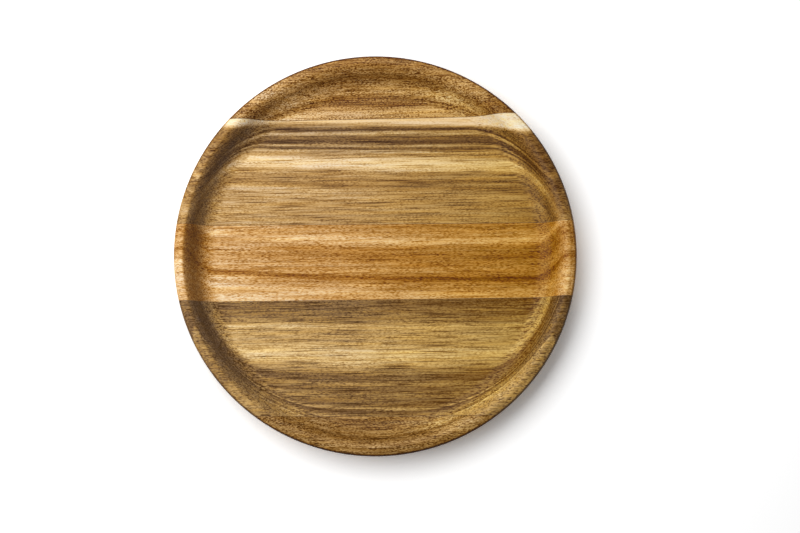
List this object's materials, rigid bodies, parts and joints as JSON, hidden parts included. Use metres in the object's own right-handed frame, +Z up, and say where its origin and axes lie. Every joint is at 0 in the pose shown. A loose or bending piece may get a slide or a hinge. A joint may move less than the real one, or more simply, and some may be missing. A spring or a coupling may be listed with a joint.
{
  "type": "wooden plate",
  "caption": "Round shallow plate of edge-glued wooden staves, with a flat floor, a coved wall, a raised rounded rim and a flat base, for serving food.",
  "frame": {"origin": "centre of the flat base, on the table", "axes": "+Z up out of the dish, X along the grain of the staves, +Y from the front stave to the back one"},
  "size_m": [0.25, 0.25, 0.02],
  "materials": {
    "back_wood": "oiled, satin, orange-brown heartwood",
    "inner_back_wood": "oiled, satin, honey heartwood with a cream sapwood edge",
    "centre_wood": "oiled, satin, orange heartwood",
    "inner_front_wood": "oiled, satin, honey and grey-brown heartwood",
    "front_wood": "oiled, satin, brown heartwood",
    "cured_glue": "thin cured wood glue, sanded flush"
  },
  "bodies": {
    "root": {"back_stave": "back_wood", "inner_back_stave": "inner_back_wood", "centre_stave": "centre_wood", "inner_front_stave": "inner_front_wood", "front_stave": "front_wood", "glue_line_1": "cured_glue", "glue_line_2": "cured_glue", "glue_line_3": "cured_glue", "glue_line_4": "cured_glue"}
  },
  "joints": []
}
